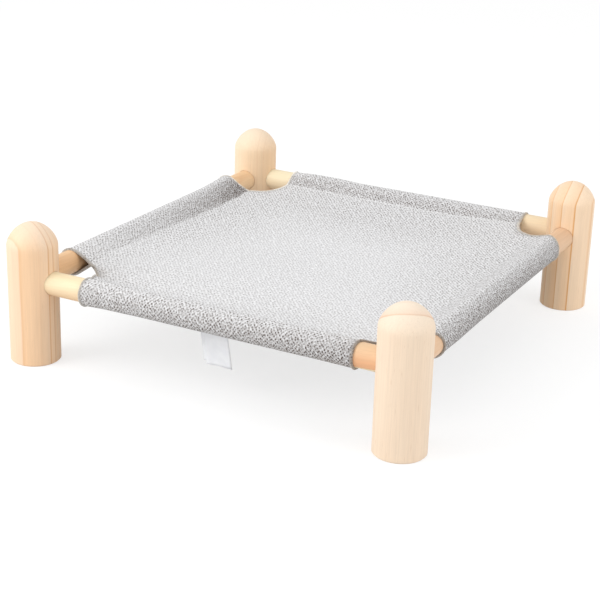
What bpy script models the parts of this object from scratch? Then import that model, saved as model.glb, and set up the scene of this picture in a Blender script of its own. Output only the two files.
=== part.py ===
"""Raised pet bed: four turned posts, four rails and a cloth sling on sleeves.

Metres, +Z up. The origin is on the floor at the middle of the bed, and the front is towards -Y.
"""

import math

import bmesh
import bpy
from mathutils import Matrix, Vector

# Wooden frame
POST_SPACING_X = 0.400
POST_SPACING_Y = 0.436
POST_RADIUS = 0.025
POST_HEIGHT = 0.142
DOME_HEIGHT = 0.022
DOME_FULLNESS = 1.5
FOOT_CHAMFER = 0.0012
RAIL_RADIUS = 0.0118
RAIL_HEIGHT = 0.0836
RAIL_CHAMFER = 0.0008
SOCKET_WEB = 0.0015

# Cloth sling. A reach is measured inwards from a rail's axis, a rise upwards from it.
CLOTH = 0.0012
FOLD_REACH = 0.022
SEAM_REACH = 0.030
STITCH_REACH = 0.0265
SEAM_RISE = 0.002
SAG = 0.004
MOUTH_FLARE = 0.0012
MOUTH_LENGTH = 0.018
SLEEVE_END_X = 0.0545
SLEEVE_END_Y = 0.060
SLEEVE_SLIDE = {"front": 0.0105, "back": 0.0, "left": 0.0, "right": -0.0065}
NOTCH_RADIUS = 0.040
THREAD_RADIUS = 0.0004
OVERLOCK_RADIUS = 0.0008

# Care label, two leaves sewn into the front seam
LABEL_WIDTH = 0.027
LABEL_LENGTH = 0.055
LABEL_THICKNESS = 0.0004
LABEL_PLACE_X = -0.008
LABEL_DRIFT = 0.005
LABEL_CURL = 0.004
LEAF_SHIFT = 0.0035
LEAF_SHORTER = 0.003
LEAF_SPACING = 0.0009

# Clearance between two pieces that touch
GAP = 0.0003

# Facets
POST_STEPS = 48
DOME_STEPS = 8
RAIL_STEPS = 32
SLEEVE_ARC_STEPS = 16
MOUTH_STATIONS = 2
MIDDLE_STATIONS = 5
NOTCH_STEPS = 7
PANEL_COLUMNS = 16
PANEL_SIDE_ROWS = 10
SEAM_STEPS = 12
LABEL_ROWS = 6
TUBE_RESOLUTION = 1
SMOOTH_ANGLE = math.radians(35)

# Distance from a post's axis to the end of each rail in it
RAIL_TIP = RAIL_RADIUS + GAP + SOCKET_WEB

# Side of the bed: the axis its rail runs along, and on which side of the middle it is
SIDES = {"front": ("x", -1), "back": ("x", 1), "left": ("y", -1), "right": ("y", 1)}
CORNERS = {
    "front_left": (-1, -1),
    "front_right": (1, -1),
    "back_left": (-1, 1),
    "back_right": (1, 1),
}


def clear_scene():
    for obj in list(bpy.data.objects):
        bpy.data.objects.remove(obj)


def make_material(name, color, roughness):
    material = bpy.data.materials.new(name)
    material.use_nodes = True
    shader = material.node_tree.nodes["Principled BSDF"]
    shader.inputs["Base Color"].default_value = (*color, 1.0)
    shader.inputs["Roughness"].default_value = roughness
    shader.inputs["Metallic"].default_value = 0.0
    return material


def add_object(name, data, material, parent, location=(0, 0, 0)):
    obj = bpy.data.objects.new(name, data)
    bpy.context.scene.collection.objects.link(obj)
    obj.parent = parent
    obj.location = location
    data.materials.append(material)
    return obj


def mesh_from(bm, name):
    """A mesh of bm, facing outwards."""
    bmesh.ops.recalc_face_normals(bm, faces=bm.faces)
    mesh = bpy.data.meshes.new(name)
    bm.to_mesh(mesh)
    bm.free()
    mesh.shade_smooth()
    mesh.set_sharp_from_angle(angle=SMOOTH_ANGLE)
    return mesh


def turned(profile, steps):
    """A solid of revolution about Z, from (radius, height) pairs that start and end on the axis."""
    bm = bmesh.new()
    points = [bm.verts.new((radius, 0, height)) for radius, height in profile]
    edges = [bm.edges.new(pair) for pair in zip(points, points[1:])]
    bmesh.ops.spin(
        bm,
        geom=points + edges,
        cent=(0, 0, 0),
        axis=(0, 0, 1),
        angle=math.tau,
        steps=steps,
        use_merge=True,
    )
    bmesh.ops.remove_doubles(bm, verts=bm.verts, dist=1e-6)
    return bm


def rod(start, end, radius, chamfer=0.0):
    """A round rod along X between two places on it."""
    if chamfer:
        profile = [
            (0, start),
            (radius - chamfer, start),
            (radius, start + chamfer),
            (radius, end - chamfer),
            (radius - chamfer, end),
            (0, end),
        ]
    else:
        profile = [(0, start), (radius, start), (radius, end), (0, end)]
    bm = turned(profile, RAIL_STEPS)
    bm.transform(Matrix.Rotation(math.pi / 2, 4, "Y"))
    return bm


def post_profile():
    profile = [(0, 0), (POST_RADIUS - FOOT_CHAMFER, 0), (POST_RADIUS, FOOT_CHAMFER)]
    shoulder = POST_HEIGHT - DOME_HEIGHT
    for step in range(DOME_STEPS):
        climb = math.sin(step / DOME_STEPS * math.pi / 2)
        radius = POST_RADIUS * math.sqrt(1 - climb**DOME_FULLNESS)
        profile.append((radius, shoulder + DOME_HEIGHT * climb))
    return profile + [(0, POST_HEIGHT)]


def socket_cutter():
    """Both sockets of a post, along its own +X and +Y, from their floors to past the post's skin."""
    first = rod(RAIL_TIP - GAP, 2 * POST_RADIUS, RAIL_RADIUS + GAP)
    mesh = mesh_from(first, "socket")
    both = bmesh.new()
    both.from_mesh(mesh)
    both.transform(Matrix.Rotation(math.pi / 2, 4, "Z"))
    both.from_mesh(mesh)
    return mesh_from(both, "sockets")


def add_posts(wood, parent):
    turns = {"front_left": 0, "front_right": 90, "back_right": 180, "back_left": 270}
    body = mesh_from(turned(post_profile(), POST_STEPS), "post")
    sockets = socket_cutter()
    for corner, turn in turns.items():
        side_x, side_y = CORNERS[corner]
        place = (side_x * POST_SPACING_X / 2, side_y * POST_SPACING_Y / 2, 0)
        post = add_object(f"post_{corner}", body.copy(), wood, parent, place)
        post.rotation_euler.z = math.radians(turn)
        cutter = add_object(f"sockets_{corner}", sockets.copy(), wood, post, (0, 0, RAIL_HEIGHT))
        cutter.hide_render = True
        cutter.display_type = "WIRE"
        cut = post.modifiers.new("sockets", "BOOLEAN")
        cut.operation = "DIFFERENCE"
        cut.solver = "EXACT"
        cut.object = cutter


def side_spacing(side):
    """Post spacing along the side's rail."""
    return POST_SPACING_X if SIDES[side][0] == "x" else POST_SPACING_Y


def side_centre(side):
    axis, sign = SIDES[side]
    if axis == "x":
        return Vector((0, sign * POST_SPACING_Y / 2, RAIL_HEIGHT))
    return Vector((sign * POST_SPACING_X / 2, 0, RAIL_HEIGHT))


def add_rails(wood, parent):
    for side, (axis, _) in SIDES.items():
        half = side_spacing(side) / 2 - RAIL_TIP
        mesh = mesh_from(rod(-half, half, RAIL_RADIUS, RAIL_CHAMFER), f"rail_{side}")
        rail = add_object(f"rail_{side}", mesh, wood, parent, side_centre(side))
        if axis == "y":
            rail.rotation_euler.z = math.pi / 2


def from_side(side, along, reach, rise):
    """A point along a side's rail, inwards from its axis and up from it, as seen from its centre."""
    axis, sign = SIDES[side]
    inwards = -sign * reach
    return Vector((along, inwards, rise)) if axis == "x" else Vector((inwards, along, rise))


def notch_size(corner):
    """From the corner post's axis to the end of the sleeve along X and of the one along Y."""
    side_x, side_y = CORNERS[corner]
    slide_x = SLEEVE_SLIDE["front" if side_y < 0 else "back"]
    slide_y = SLEEVE_SLIDE["left" if side_x < 0 else "right"]
    return SLEEVE_END_X - side_x * slide_x, SLEEVE_END_Y - side_y * slide_y


def notch_edge(end, other_end, reach, inset=0.0):
    """How far from the post's axis the cut edge is, at a reach, on the sleeve that ends at end."""
    into_curve = max(0.0, reach - (other_end - NOTCH_RADIUS))
    radius = NOTCH_RADIUS - inset
    return end - NOTCH_RADIUS + math.sqrt(radius**2 - into_curve**2)


def side_ends(side, reach):
    """Where a sleeve starts and ends along its rail, at a reach."""
    axis, sign = SIDES[side]
    half = side_spacing(side) / 2
    ends = []
    for other in (-1, 1):
        place = (other, sign) if axis == "x" else (sign, other)
        corner = next(name for name, signs in CORNERS.items() if signs == place)
        size_x, size_y = notch_size(corner)
        end, other_end = (size_x, size_y) if axis == "x" else (size_y, size_x)
        ends.append(other * (half - notch_edge(end, other_end, reach)))
    return ends


def tangent_angle(point, radius, turn):
    """Where a straight line from an outer point touches a circle about the axis."""
    reach, rise = point
    return math.atan2(rise, reach) + turn * math.acos(radius / math.hypot(reach, rise))


def wrap(radius, upper, lower):
    """Points over a rail's outer side, between the lines from upper and from lower that touch its circle."""
    first = tangent_angle(upper, radius, 1)
    last = tangent_angle(lower, radius, -1) + math.tau
    angles = [first + (last - first) * k / SLEEVE_ARC_STEPS for k in range(SLEEVE_ARC_STEPS + 1)]
    return [(radius * math.cos(angle), radius * math.sin(angle)) for angle in angles]


def sleeve_section(flare):
    """The sleeve's outer loop and the loop of its opening, as (reach, rise) pairs."""
    inner = RAIL_RADIUS + GAP + flare
    top = SEAM_RISE + CLOTH
    bottom = SEAM_RISE - CLOTH
    tip = SEAM_REACH - GAP / 2
    fold = (FOLD_REACH, SEAM_RISE)
    outside = wrap(inner + CLOTH, (FOLD_REACH, top), (FOLD_REACH, bottom))
    outer = [(tip, top), (FOLD_REACH, top), *outside, (FOLD_REACH, bottom), (tip, bottom)]
    return outer, [fold, *wrap(inner, fold, fold)]


def mouth_flare(distance):
    """How much wider a sleeve is at a distance from its end."""
    left = max(0.0, 1 - distance / MOUTH_LENGTH)
    return MOUTH_FLARE * left * left


def sleeve_stations(length):
    """Distances along a sleeve where it has a ring of points, closer together at its mouths."""
    mouth = [MOUTH_LENGTH * k / MOUTH_STATIONS for k in range(MOUTH_STATIONS + 1)]
    run = length - 2 * MOUTH_LENGTH
    middle = [MOUTH_LENGTH + run * k / MIDDLE_STATIONS for k in range(1, MIDDLE_STATIONS)]
    return [*mouth, *middle, *(length - distance for distance in reversed(mouth))]


def close_sleeve_end(bm, outer, inner):
    """The cloth's cut edge at a mouth, between its outer ring and the ring of its opening."""
    tip_top, fold_top, *outside, fold_bottom, tip_bottom = outer
    fold, *inside = inner
    bm.faces.new((tip_top, fold_top, fold, fold_bottom, tip_bottom))
    bm.faces.new((fold_top, outside[0], inside[0], fold))
    bm.faces.new((fold_bottom, fold, inside[-1], outside[-1]))
    for k in range(len(outside) - 1):
        bm.faces.new((outside[k], outside[k + 1], inside[k + 1], inside[k]))


def add_sleeve(side, fabric, parent):
    bm = bmesh.new()
    rings = []
    start, end = side_ends(side, 0)
    length = end - start
    for distance in sleeve_stations(length):
        flare = mouth_flare(min(distance, length - distance))
        rings.append([])
        for loop in sleeve_section(flare):
            ring = []
            for reach, rise in loop:
                first, last = side_ends(side, reach)
                along = first + (last - first) * distance / length
                ring.append(bm.verts.new(from_side(side, along, reach, rise)))
            rings[-1].append(ring)
    for here, there in zip(rings, rings[1:]):
        for a, b in zip(here, there):
            for k in range(len(a)):
                following = (k + 1) % len(a)
                bm.faces.new((a[k], a[following], b[following], b[k]))
    close_sleeve_end(bm, *rings[0])
    close_sleeve_end(bm, *rings[-1])
    mesh = mesh_from(bm, f"sleeve_{side}")
    add_object(f"sleeve_{side}", mesh, fabric, parent, side_centre(side))


def notch_arc(corner, inset, reach, steps):
    """World points on a corner's rounded cut, from the sleeve along X to the one along Y."""
    side_x, side_y = CORNERS[corner]
    size_x, size_y = notch_size(corner)
    radius = NOTCH_RADIUS - inset
    centre_x, centre_y = size_x - NOTCH_RADIUS, size_y - NOTCH_RADIUS
    first = math.asin((reach - centre_y) / radius)
    last = math.acos((reach - centre_x) / radius)
    points = []
    for step in range(steps + 1):
        angle = first + (last - first) * step / steps
        x = POST_SPACING_X / 2 - centre_x - radius * math.cos(angle)
        y = POST_SPACING_Y / 2 - centre_y - radius * math.sin(angle)
        points.append((side_x * x, side_y * y))
    return points


def panel_rise(x, y):
    """Height of the panel's underside above the rails' axes."""
    across = x / (POST_SPACING_X / 2 - SEAM_REACH)
    along = y / (POST_SPACING_Y / 2 - SEAM_REACH)
    return SEAM_RISE - SAG * max(0.0, 1 - across**2) * max(0.0, 1 - along**2)


def panel_side(front_corner, back_corner):
    """World points up one side of the panel: round a front notch, along the seam, round a back notch."""
    reach = SEAM_REACH + GAP / 2
    front = notch_arc(front_corner, 0, reach, NOTCH_STEPS)
    back = notch_arc(back_corner, 0, reach, NOTCH_STEPS)[::-1]
    (x, low), (_, high) = front[-1], back[0]
    rows = [low + (high - low) * k / PANEL_SIDE_ROWS for k in range(1, PANEL_SIDE_ROWS)]
    return [*front, *((x, y) for y in rows), *back]


def add_panel(fabric, parent):
    left = panel_side("front_left", "back_left")
    right = panel_side("front_right", "back_right")
    bm = bmesh.new()
    layers = []
    for thickness in (0.0, CLOTH):
        grid = []
        for (x0, y0), (x1, y1) in zip(left, right):
            row = []
            for k in range(PANEL_COLUMNS + 1):
                share = k / PANEL_COLUMNS
                x, y = x0 + (x1 - x0) * share, y0 + (y1 - y0) * share
                row.append(bm.verts.new((x, y, panel_rise(x, y) + thickness)))
            grid.append(row)
        layers.append(grid)
    for grid in layers:
        for row, following in zip(grid, grid[1:]):
            for k in range(PANEL_COLUMNS):
                bm.faces.new((row[k], row[k + 1], following[k + 1], following[k]))
    bottom, top = (border_of(grid) for grid in layers)
    for k in range(len(bottom)):
        bm.faces.new((bottom[k - 1], bottom[k], top[k], top[k - 1]))
    mesh = mesh_from(bm, "sling_panel")
    add_object("sling_panel", mesh, fabric, parent, (0, 0, RAIL_HEIGHT))


def border_of(grid):
    """The outer points of a grid, in order round it."""
    up = [row[-1] for row in grid[1:]]
    down = [row[0] for row in grid[-2:0:-1]]
    return [*grid[0], *up, *grid[-1][-2::-1], *down]


def tube(name, points, radius, material, parent, location):
    """A round thread along points that are given from its location."""
    curve = bpy.data.curves.new(name, "CURVE")
    curve.dimensions = "3D"
    curve.bevel_depth = radius
    curve.bevel_resolution = TUBE_RESOLUTION
    curve.use_fill_caps = True
    spline = curve.splines.new("POLY")
    spline.points.add(len(points) - 1)
    for slot, point in zip(spline.points, points):
        slot.co = (*point, 1.0)
    return add_object(name, curve, material, parent, location)


def add_seam(side, thread, parent):
    """The row of stitches along a sleeve, lying on the cloth."""
    start, end = side_ends(side, STITCH_REACH)
    rise = SEAM_RISE + CLOTH + GAP + THREAD_RADIUS
    inset = 2 * THREAD_RADIUS
    run = end - start - 2 * inset
    places = [start + inset + run * k / SEAM_STEPS for k in range(SEAM_STEPS + 1)]
    points = [from_side(side, along, STITCH_REACH, rise) for along in places]
    tube(f"seam_{side}", points, THREAD_RADIUS, thread, parent, side_centre(side))


def mouth_path():
    """The middle of the cloth round a sleeve's mouth, from under the seam and back to its top."""
    radius = RAIL_RADIUS + GAP + MOUTH_FLARE + CLOTH / 2
    upper = (FOLD_REACH, SEAM_RISE + CLOTH / 2)
    lower = (FOLD_REACH, SEAM_RISE - CLOTH - OVERLOCK_RADIUS)
    return [*reversed(wrap(radius, upper, lower)), upper]


def add_overlock(corner, thread, parent):
    """The thread edge round a corner: one sleeve's mouth, the notch, and the next sleeve's mouth."""
    side_x, side_y = CORNERS[corner]
    size_x, size_y = notch_size(corner)
    inset = GAP + OVERLOCK_RADIUS
    half_x, half_y = POST_SPACING_X / 2, POST_SPACING_Y / 2

    def along_x(reach, rise):
        edge = notch_edge(size_x, size_y, reach, inset)
        return Vector((side_x * (half_x - edge), side_y * (half_y - reach), rise))

    def along_y(reach, rise):
        edge = notch_edge(size_y, size_x, reach, inset)
        return Vector((side_x * (half_x - reach), side_y * (half_y - edge), rise))

    arc = []
    for x, y in notch_arc(corner, inset, SEAM_REACH, NOTCH_STEPS):
        arc.append(Vector((x, y, panel_rise(x, y) + CLOTH / 2)))
    mouth = mouth_path()
    first = [along_x(reach, rise) for reach, rise in mouth]
    last = [along_y(reach, rise) for reach, rise in reversed(mouth)]
    corner_place = Vector((side_x * half_x, side_y * half_y, 0))
    points = [point - corner_place for point in (*first, *arc, *last)]
    location = corner_place + Vector((0, 0, RAIL_HEIGHT))
    tube(f"overlock_{corner}", points, OVERLOCK_RADIUS, thread, parent, location)


def add_label_leaf(name, shift, back, length, satin, parent):
    """A thin leaf that hangs from the front seam and curls a little to the back."""
    bm = bmesh.new()
    rings = []
    for row in range(LABEL_ROWS + 1):
        down = row / LABEL_ROWS
        x = LABEL_DRIFT * down - shift
        y = back + LABEL_CURL * down * down
        z = -length * down
        rings.append(
            [
                bm.verts.new((x + across * LABEL_WIDTH / 2, y + depth * LABEL_THICKNESS, z))
                for across, depth in ((-1, 0), (1, 0), (1, 1), (-1, 1))
            ]
        )
    for here, there in zip(rings, rings[1:]):
        for k in range(4):
            bm.faces.new((here[k], here[k - 1], there[k - 1], there[k]))
    bm.faces.new(rings[0])
    bm.faces.new(rings[-1])
    front = side_centre("front")
    underside = SEAM_RISE - CLOTH - GAP
    place = front + Vector((LABEL_PLACE_X, STITCH_REACH, underside))
    add_object(name, mesh_from(bm, name), satin, parent, place)


def build():
    clear_scene()
    wood = make_material("pine", (0.83, 0.62, 0.40), 0.55)
    fabric = make_material("melange_cloth", (0.62, 0.61, 0.60), 0.95)
    thread = make_material("grey_thread", (0.72, 0.71, 0.69), 0.8)
    satin = make_material("white_satin", (0.85, 0.86, 0.87), 0.45)
    bed = bpy.data.objects.new("pet_bed", None)
    bpy.context.scene.collection.objects.link(bed)
    add_posts(wood, bed)
    add_rails(wood, bed)
    add_panel(fabric, bed)
    for side in SIDES:
        add_sleeve(side, fabric, bed)
        add_seam(side, thread, bed)
    for corner in CORNERS:
        add_overlock(corner, thread, bed)
    add_label_leaf("care_label", 0, 0, LABEL_LENGTH, satin, bed)
    second = LABEL_LENGTH - LEAF_SHORTER
    add_label_leaf("care_label_back_leaf", LEAF_SHIFT, LEAF_SPACING, second, satin, bed)


build()
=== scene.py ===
import math
import random

import bmesh
import bpy
import numpy as np
from mathutils import Matrix, Vector
from mathutils.bvhtree import BVHTree


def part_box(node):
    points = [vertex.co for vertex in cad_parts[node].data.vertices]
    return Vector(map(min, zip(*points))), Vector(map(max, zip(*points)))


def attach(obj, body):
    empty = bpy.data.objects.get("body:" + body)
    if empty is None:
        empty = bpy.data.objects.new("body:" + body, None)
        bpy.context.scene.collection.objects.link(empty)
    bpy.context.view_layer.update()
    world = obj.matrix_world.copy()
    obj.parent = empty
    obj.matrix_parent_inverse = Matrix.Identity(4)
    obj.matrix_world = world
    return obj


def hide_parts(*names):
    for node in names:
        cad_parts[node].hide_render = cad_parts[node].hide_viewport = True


# Raised pet bed: turned pine posts, pine rails and a melange sling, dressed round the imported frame.
# Metres, +Z up, the front towards -Y.

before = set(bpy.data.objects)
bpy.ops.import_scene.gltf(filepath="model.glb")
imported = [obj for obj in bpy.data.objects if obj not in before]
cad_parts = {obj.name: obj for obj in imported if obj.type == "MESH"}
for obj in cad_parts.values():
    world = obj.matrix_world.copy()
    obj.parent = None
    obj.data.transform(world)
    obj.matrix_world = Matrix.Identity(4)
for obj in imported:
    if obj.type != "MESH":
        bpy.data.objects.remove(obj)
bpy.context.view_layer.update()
print("frame loaded")

sides = {"front": ("x", -1), "back": ("x", 1), "left": ("y", -1), "right": ("y", 1)}
corners = {"front_left": (-1, -1), "front_right": (1, -1), "back_left": (-1, 1), "back_right": (1, 1)}


def middleOf(node):
    low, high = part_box(node)
    return (low + high) / 2


def sizeOf(node):
    low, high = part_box(node)
    return high - low


def addObject(name, data):
    made = bpy.data.objects.new(name, data)
    bpy.context.scene.collection.objects.link(made)
    return made


postX = middleOf("post_back_right").x  # post axes from the middle of the bed
postY = middleOf("post_back_right").y
railHeight = middleOf("rail_front").z
railRadius = sizeOf("rail_front").z / 2


# Camera, solved from the photo's outlines

cameraView = {
    "focal": 90.583,
    "sensor": 36.0,
    "turn": 0.483,
    "climb": 0.3643,
    "roll": 0.0313,
    "distance": 1.494914,
    "target": (0.028382, -0.089224, 0.067017),
    "farthest": 50.0,
}


def addCamera():
    view = cameraView
    turn, climb, roll = view["turn"], view["climb"], view["roll"]
    back = Vector((math.sin(turn) * math.cos(climb), -math.cos(turn) * math.cos(climb), math.sin(climb)))
    across = Vector((0, 0, 1)).cross(back).normalized()
    up = back.cross(across)
    rolledAcross = across * math.cos(roll) + up * math.sin(roll)
    rolledUp = up * math.cos(roll) - across * math.sin(roll)
    data = bpy.data.cameras.new("photoCamera")
    data.lens = view["focal"]
    data.sensor_width = view["sensor"]
    data.clip_end = view["farthest"]
    camera = addObject("photoCamera", data)
    turned = Matrix((rolledAcross, rolledUp, back)).transposed().to_4x4()
    place = Vector(view["target"]) + back * view["distance"]
    camera.matrix_world = Matrix.Translation(place) @ turned
    bpy.context.scene.camera = camera


addCamera()
print("camera placed")


# Node helpers. A value is a number, a vector, a colour or another node's socket.


def setInputs(tree, node, inputs):
    for name, value in inputs.items():
        if isinstance(value, bpy.types.NodeSocket):
            tree.links.new(value, node.inputs[name])
        else:
            node.inputs[name].default_value = value


def addNode(tree, kind, inputs=None, **settings):
    made = tree.nodes.new(f"ShaderNode{kind}")
    for name, value in settings.items():
        setattr(made, name, value)
    setInputs(tree, made, inputs or {})
    return made


def maths(tree, operation, *values, clamp=False):
    inputs = dict(enumerate(values))
    return addNode(tree, "Math", inputs, operation=operation, use_clamp=clamp).outputs[0]


def times(tree, first, second):
    return maths(tree, "MULTIPLY", first, second)


def timesPlus(tree, first, second, added, clamp=False):
    return maths(tree, "MULTIPLY_ADD", first, second, added, clamp=clamp)


def vectorMaths(tree, operation, *values):
    made = addNode(tree, "VectorMath", dict(enumerate(values)), operation=operation)
    return made.outputs["Value" if operation == "LENGTH" else "Vector"]


def ramp(tree, value, low, high, start=0.0, end=1.0, smooth=True):
    limits = {"Value": value, "From Min": low, "From Max": high, "To Min": start, "To Max": end}
    kind = "SMOOTHSTEP" if smooth else "LINEAR"
    return addNode(tree, "MapRange", limits, interpolation_type=kind).outputs[0]


def mixColours(tree, share, first, second, blend="MIX"):
    first, second = [(*given, 1.0) if isinstance(given, tuple) else given for given in (first, second)]
    inputs = {0: share, 6: first, 7: second}
    return addNode(tree, "Mix", inputs, data_type="RGBA", blend_type=blend).outputs[2]


def mixValues(tree, share, first, second):
    return timesPlus(tree, share, maths(tree, "SUBTRACT", second, first), first)


def channelsOf(tree, colour):
    return addNode(tree, "SeparateColor", {"Color": colour}).outputs


def noiseAt(tree, vector, stretch, detail=2.0, roughness=0.5):
    placed = vectorMaths(tree, "MULTIPLY", vector, stretch)
    values = {"Vector": placed, "Scale": 1.0, "Detail": detail, "Roughness": roughness}
    return addNode(tree, "TexNoise", values).outputs[0]


def addBump(tree, shader, height, strength, distance=0.0001):
    values = {"Height": height, "Strength": strength, "Distance": distance}
    setInputs(tree, shader, {"Normal": addNode(tree, "Bump", values).outputs[0]})


def newGroup(name, vectors, numbers):
    tree = bpy.data.node_groups.new(name, "ShaderNodeTree")
    for label in (*vectors, *numbers):
        kind = "NodeSocketVector" if label in vectors else "NodeSocketFloat"
        tree.interface.new_socket(label, in_out="INPUT", socket_type=kind)
    return tree, tree.nodes.new("NodeGroupInput").outputs


def finishGroup(tree, results):
    for label in results:
        tree.interface.new_socket(label, in_out="OUTPUT", socket_type="NodeSocketFloat")
    setInputs(tree, tree.nodes.new("NodeGroupOutput"), results)
    return tree


def useGroup(tree, group, **inputs):
    return addNode(tree, "Group", inputs, node_tree=group).outputs


def newMaterial(name):
    material = bpy.data.materials.new(name)
    material.use_nodes = True
    tree = material.node_tree
    return material, tree, tree.nodes["Principled BSDF"]


# Wood. The threes are noises, in repeats per metre across the grain, twice, and along it.

woodShape = {
    "ringEnd": 0.0005,
    "slowSway": (38, 38, 5),
    "smallSway": (420, 420, 26),
    "smallShare": 0.16,
    "wideFibre": (420, 420, 7),
    "fineFibre": (1500, 1500, 34),
    "fineShare": 0.45,
    "fibreRange": (0.32, 0.68),
    "canals": (1250, 1250, 85),
    "canalRange": (0.68, 0.78),
    "mottle": (55, 55, 14),
}


def growthRingGroup():
    # one ring between two distances from the pith: pale inside, darkening to its late line outside
    numbers = ("Distance", "Inner", "Outer", "Rise", "LineWidth")
    tree, given = newGroup("growthRing", (), numbers)
    distance, outer = given["Distance"], given["Outer"]
    share = ramp(tree, distance, given["Inner"], outer, smooth=False)
    past = maths(tree, "ADD", outer, woodShape["ringEnd"])
    inside = ramp(tree, distance, outer, past, 1.0, 0.0)
    risen = maths(tree, "POWER", share, given["Rise"])
    late = ramp(tree, distance, maths(tree, "SUBTRACT", outer, given["LineWidth"]), outer)
    results = {"Tone": times(tree, risen, inside), "Line": times(tree, late, inside)}
    return finishGroup(tree, results)


def woodGrainGroup():
    # distance from a pith on the vector's Z axis, fibres, resin canals and mottle
    tree, given = newGroup("woodGrain", ("Vector",), ("Wander",))
    place, shape = given["Vector"], woodShape
    length = vectorMaths(tree, "LENGTH", vectorMaths(tree, "MULTIPLY", place, (1, 1, 0)))
    slow = maths(tree, "SUBTRACT", noiseAt(tree, place, shape["slowSway"]), 0.5)
    small = maths(tree, "SUBTRACT", noiseAt(tree, place, shape["smallSway"]), 0.5)
    sway = timesPlus(tree, small, shape["smallShare"], slow)
    wide = times(tree, noiseAt(tree, place, shape["wideFibre"], 3.0, 0.6), 1 - shape["fineShare"])
    fine = noiseAt(tree, place, shape["fineFibre"])
    both = timesPlus(tree, fine, shape["fineShare"], wide)
    results = {
        "Distance": timesPlus(tree, sway, given["Wander"], length),
        "Fibre": ramp(tree, both, *shape["fibreRange"]),
        "Canals": ramp(tree, noiseAt(tree, place, shape["canals"], 1.0), *shape["canalRange"]),
        "Mottle": noiseAt(tree, place, shape["mottle"]),
    }
    return finishGroup(tree, results)


# Melange weave: how its lattice lies, and the distances over which its pits and its relief end

weaveShape = {
    "waveScale": 0.6,
    "squash": (1.0, 0.85, 1.0),
    "turn": math.pi / 4,
    "pitRange": (0.08, 0.42),
    "reliefRange": (0.05, 0.75),
}


def melangeWeaveGroup():
    # on flat cloth coordinates in metres: flecks of light and dark yarn, and a loose lattice of pits
    tree, given = newGroup("melangeWeave", ("Vector",), ("Pitch", "Fleck", "Unevenness", "Sway"))

    def cellsOf(vector):
        values = {"Vector": vector, "Scale": 1.0, "Randomness": given["Unevenness"]}
        return addNode(tree, "TexVoronoi", values, voronoi_dimensions="2D").outputs

    perPitch = maths(tree, "DIVIDE", 1.0, given["Pitch"])
    scaled = vectorMaths(tree, "MULTIPLY", given["Vector"], perPitch)
    values = {"Vector": scaled, "Scale": weaveShape["waveScale"], "Detail": 1.0, "Roughness": 0.5}
    wave = addNode(tree, "TexNoise", values)
    centred = vectorMaths(tree, "SUBTRACT", wave.outputs["Color"], (0.5, 0.5, 0.5))
    swayed = vectorMaths(tree, "MULTIPLY", centred, given["Sway"])
    place = vectorMaths(tree, "ADD", scaled, swayed)
    # the pits lie at every second crossing of the yarns
    squashed = vectorMaths(tree, "MULTIPLY", place, weaveShape["squash"])
    values = {"Vector": squashed, "Angle": weaveShape["turn"]}
    turned = addNode(tree, "VectorRotate", values, rotation_type="Z_AXIS")
    cells = cellsOf(turned.outputs[0])
    perFleck = maths(tree, "DIVIDE", given["Pitch"], given["Fleck"])
    flecks = cellsOf(vectorMaths(tree, "MULTIPLY", place, perFleck))
    results = {
        "Relief": ramp(tree, cells["Distance"], *weaveShape["reliefRange"]),
        "Dash": channelsOf(tree, flecks["Color"])["Green"],
        "Pit": ramp(tree, cells["Distance"], *weaveShape["pitRange"], 1.0, 0.0),
        "Depth": channelsOf(tree, cells["Color"])["Red"],
    }
    return finishGroup(tree, results)


def fibreToneGroup():
    # a tone from a fine and a slow noise, each with its repeats per metre and its share
    tree, given = newGroup("fibreTone", ("Vector", "Fine", "Slow"), ("FineShare", "SlowShare"))
    fine = noiseAt(tree, given["Vector"], given["Fine"])
    slow = times(tree, noiseAt(tree, given["Vector"], given["Slow"]), given["SlowShare"])
    results = {"Tone": timesPlus(tree, fine, given["FineShare"], slow), "Fibre": fine}
    return finishGroup(tree, results)


growthRing = growthRingGroup()
woodGrain = woodGrainGroup()
melangeWeave = melangeWeaveGroup()
fibreTone = fibreToneGroup()


# Pine. The pith of each stick is given from its own axis, and its grain turns to the vector's Z.
# Each ring: its outer distance from the pith, how far it darkens and how strong its late line is.

pineLook = {
    "early": (0.9, 0.76, 0.56),
    "late": (0.83, 0.58, 0.37),
    "line": (0.7, 0.39, 0.19),
    "canal": (0.56, 0.35, 0.2),
    "rise": 1.0,
    "lean": 0.0,
    "wander": 0.0016,
    "lineWidth": 0.0012,
    "canals": 0.16,
    "canalDepth": 0.8,
    "mottle": 0.24,
    "streaks": (0.95, 1.03),
    "roughness": 0.52,
    "glossSpread": 0.1,
    "specular": 0.35,
    "bump": 0.25,
    # painted highlight: the top of each dome is mixed towards a paler tone, where the light falls strongest
    "domeHighlightTone": (0.95, 0.86, 0.74),
    "domeHighlightShare": 0.0,
    "domeHighlightRun": 1.3,  # in dome heights
}
grainTurns = {"z": (0, 0, 0), "x": (0, math.pi / 2, 0), "y": (math.pi / 2, 0, 0)}


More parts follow.
